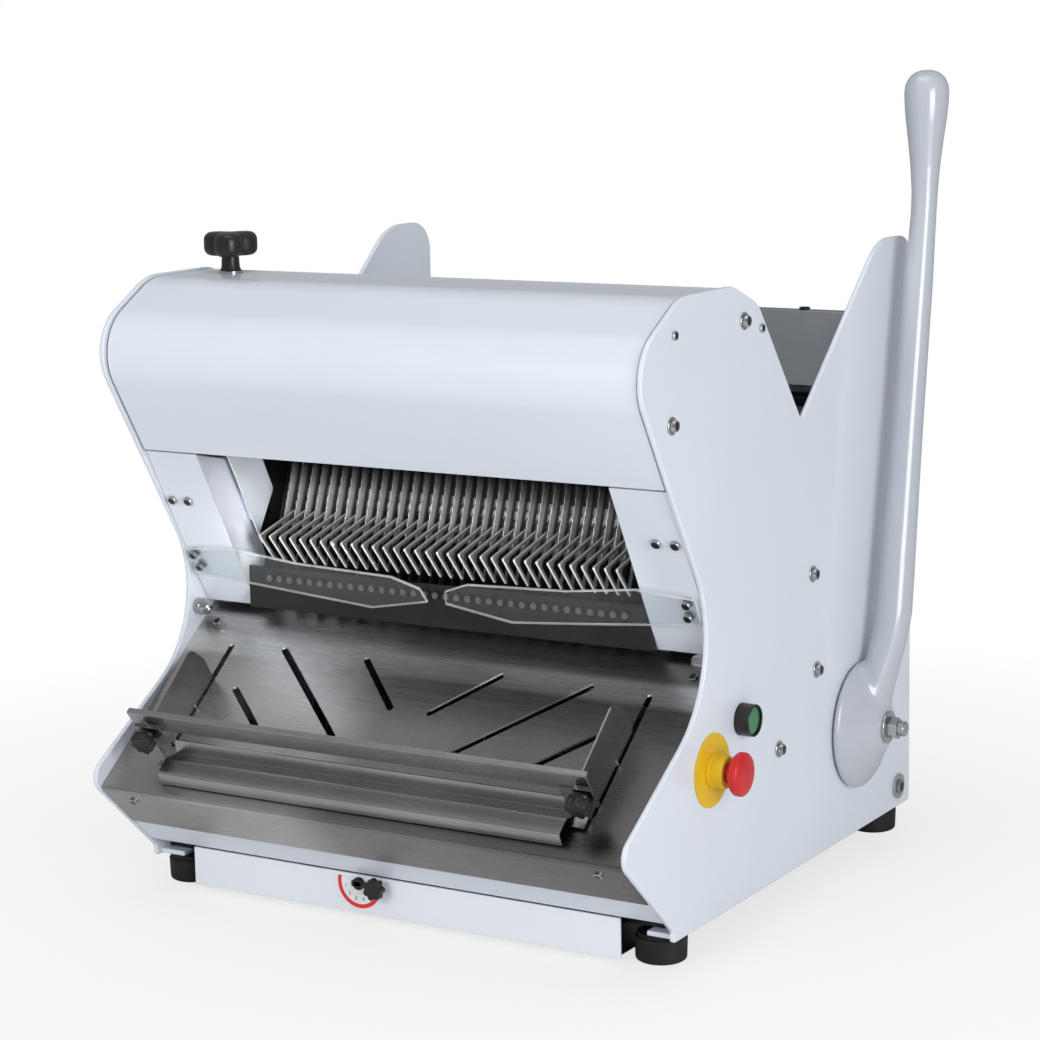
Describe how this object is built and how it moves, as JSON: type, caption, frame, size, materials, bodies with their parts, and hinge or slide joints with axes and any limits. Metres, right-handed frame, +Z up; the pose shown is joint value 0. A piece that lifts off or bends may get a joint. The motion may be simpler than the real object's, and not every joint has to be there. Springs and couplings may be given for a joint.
{
  "type": "bread slicer",
  "caption": "Bench bread slicer: side panels carry two reciprocating blade frames, a lever-driven pusher comb, a sloping slotted discharge tray with loaf stop, and a crumb drawer.",
  "frame": {"origin": "middle of the bounding box on the floor", "axes": "+X across the machine towards the lever, +Y from the discharge tray to the back, +Z up"},
  "size_m": [0.638, 0.6169, 0.775],
  "materials": {
    "panel_steel": "glossy bluish white paint",
    "grey_sheet": "dull sheet steel",
    "bright_steel": "bright stainless steel",
    "blade_steel": "ground blade steel",
    "cast_grey": "machined casting",
    "lever_paint": "light grey gloss paint",
    "stainless_sheet": "brushed stainless sheet",
    "black_plastic": "moulded black plastic",
    "black_rubber": "matt black rubber",
    "clear_guard": "clear acrylic",
    "yellow_plastic": "yellow plastic",
    "green_plastic": "green push button",
    "red_plastic": "red push button",
    "white_dial": "white printed plate"
  },
  "bodies": {
    "machine": {"side_panel_left": "panel_steel", "side_panel_right": "panel_steel", "hood": "panel_steel", "infeed_front_sheet": "panel_steel", "infeed_rear_sheet": "grey_sheet", "rim_loop": "black_rubber", "rear_cover": "panel_steel", "base_plate": "grey_sheet", "jamb_left": "panel_steel", "jamb_right": "panel_steel", "cheek_plates": "panel_steel", "hand_guard_left": "clear_guard", "hand_guard_right": "clear_guard", "jamb_and_guard_bolts": "bright_steel", "slicing_comb": "bright_steel", "comb_rail": "bright_steel", "infeed_floor": "bright_steel", "guide_rods": "bright_steel", "discharge_tray": "stainless_sheet", "tray_fasteners": "bright_steel", "front_sill": "panel_steel", "drawer_runners": "grey_sheet", "feet": "black_rubber", "panel_screws": "bright_steel", "tie_rods": "bright_steel", "lever_bushes": "black_plastic", "carriage_rails": "bright_steel", "drive_bearings": "cast_grey", "motor": "cast_grey", "drive_belt": "black_rubber", "electrical_box": "black_plastic", "cable_gland": "black_plastic", "switch_blocks": "black_plastic", "start_button_bezel": "black_plastic", "stop_base": "yellow_plastic"},
    "front_frame": {"blade_frame_front": "grey_sheet", "blades_front": "blade_steel"},
    "rear_frame": {"blade_frame_rear": "grey_sheet", "blades_rear": "blade_steel"},
    "rocker": {"rocker": "cast_grey"},
    "shaft": {"eccentric_shaft": "bright_steel", "drive_pulley": "cast_grey"},
    "motor_pulley": {"motor_pulley": "cast_grey"},
    "lever": {"feed_lever": "lever_paint", "lever_shaft": "bright_steel", "feed_arms": "grey_sheet", "lever_bolt": "bright_steel"},
    "pusher": {"pusher": "bright_steel"},
    "drawer": {"crumb_drawer": "panel_steel", "dial_plate": "white_dial"},
    "dial": {"dial_pointer": "black_plastic"},
    "loaf_stop": {"loaf_stop_frame": "stainless_sheet", "loaf_stop_bar": "stainless_sheet"},
    "knob_left": {"stop_knob_left": "black_plastic"},
    "knob_right": {"stop_knob_right": "black_plastic"},
    "start_cap": {"start_button_cap": "green_plastic"},
    "stop_head": {"stop_head": "red_plastic"},
    "hood_knob": {"hood_knob": "black_plastic"}
  },
  "joints": [
    {"name": "rocker_swing", "type": "hinge", "parent": "machine", "child": "rocker", "pos_m": [-0.024, -0.05403, 0.18855], "axis": [1, 0, 0], "range_deg": [-5.73, 5.73]},
    {"name": "front_frame_slide", "type": "slide", "parent": "machine", "child": "front_frame", "axis": [0, 0.342, 0.9397], "range_m": [-0.0062, 0.0062]},
    {"name": "rear_frame_slide", "type": "slide", "parent": "machine", "child": "rear_frame", "axis": [0, 0.342, 0.9397], "range_m": [-0.0062, 0.0062]},
    {"name": "shaft_spin", "type": "hinge", "parent": "machine", "child": "shaft", "pos_m": [-0.024, -0.07113, 0.14157], "axis": [1, 0, 0], "continuous": true},
    {"name": "motor_pulley_spin", "type": "hinge", "parent": "machine", "child": "motor_pulley", "pos_m": [-0.024, 0.078, 0.1], "axis": [1, 0, 0], "continuous": true},
    {"name": "lever_swing", "type": "hinge", "parent": "machine", "child": "lever", "pos_m": [-0.024, 0.169, 0.137], "axis": [1, 0, 0], "range_deg": [0, 50]},
    {"name": "pusher_slide", "type": "slide", "parent": "machine", "child": "pusher", "axis": [0, -0.9681, -0.2504], "range_m": [0, 0.1467]},
    {"name": "drawer_slide", "type": "slide", "parent": "machine", "child": "drawer", "axis": [0, -1, 0], "range_m": [0, 0.2]},
    {"name": "dial_turn", "type": "hinge", "parent": "drawer", "child": "dial", "pos_m": [-0.066, -0.2262, 0.034], "axis": [0, 1, 0], "range_deg": [0, 150]},
    {"name": "loaf_stop_slide", "type": "slide", "parent": "machine", "child": "loaf_stop", "axis": [0, 0.7908, 0.6121], "range_m": [0, 0.07]},
    {"name": "knob_left_turn", "type": "hinge", "parent": "loaf_stop", "child": "knob_left", "pos_m": [-0.261, -0.28882, 0.16925], "axis": [0, -0.7908, -0.6121], "continuous": true},
    {"name": "knob_right_turn", "type": "hinge", "parent": "loaf_stop", "child": "knob_right", "pos_m": [0.213, -0.28882, 0.16925], "axis": [0, -0.7908, -0.6121], "continuous": true},
    {"name": "start_press", "type": "slide", "parent": "machine", "child": "start_cap", "axis": [-1, 0, 0], "range_m": [0, 0.003], "stiffness_N_per_m": 600},
    {"name": "stop_press", "type": "slide", "parent": "machine", "child": "stop_head", "axis": [-1, 0, 0], "range_m": [0, 0.004], "stiffness_N_per_m": 800},
    {"name": "hood_knob_turn", "type": "hinge", "parent": "machine", "child": "hood_knob", "pos_m": [-0.264, -0.128, 0.594], "axis": [0, 0, 1], "continuous": true}
  ],
  "couplings": [
    {"joint": "front_frame_slide", "follows": "rocker_swing", "m_per_rad": 0.06},
    {"joint": "rear_frame_slide", "follows": "rocker_swing", "m_per_rad": -0.06},
    {"joint": "motor_pulley_spin", "follows": "shaft_spin", "ratio": 2.4},
    {"joint": "pusher_slide", "follows": "lever_swing", "m_per_rad": 0.168}
  ]
}
